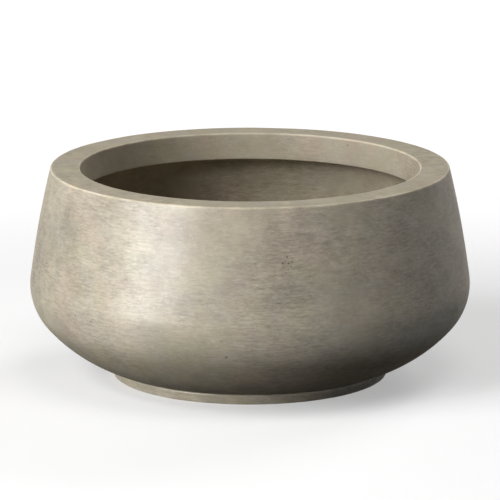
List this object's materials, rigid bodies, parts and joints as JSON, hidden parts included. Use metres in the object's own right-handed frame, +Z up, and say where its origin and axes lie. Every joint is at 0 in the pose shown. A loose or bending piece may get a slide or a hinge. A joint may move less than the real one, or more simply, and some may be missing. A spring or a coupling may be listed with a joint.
{
  "type": "bowl planter",
  "caption": "Low round concrete bowl planter with a thick inturned rim, a belly that curves in to a short foot ring, and a lift-out rubber plug in its drain hole.",
  "frame": {"origin": "on the ground, at the middle of the foot ring", "axes": "+Z up, along the bowl's axis. The bowl is round, so X and Y are alike; the picture looks along +Y"},
  "size_m": [0.54, 0.54, 0.2585],
  "materials": {
    "fair_face_concrete": "matte",
    "backing_concrete": "matte",
    "glass_fibre": "matte",
    "plug_rubber": "matte"
  },
  "bodies": {
    "planter": {"face_coat": "fair_face_concrete", "fibre_mesh": "glass_fibre", "backing_coat": "backing_concrete", "rim_core": "backing_concrete", "foot_ring": "fair_face_concrete"},
    "plug": {"drain_plug": "plug_rubber"}
  },
  "joints": [
    {"name": "plug_lift", "type": "slide", "parent": "planter", "child": "plug", "axis": [0, 0, 1], "range_m": [0, 0.27]}
  ]
}
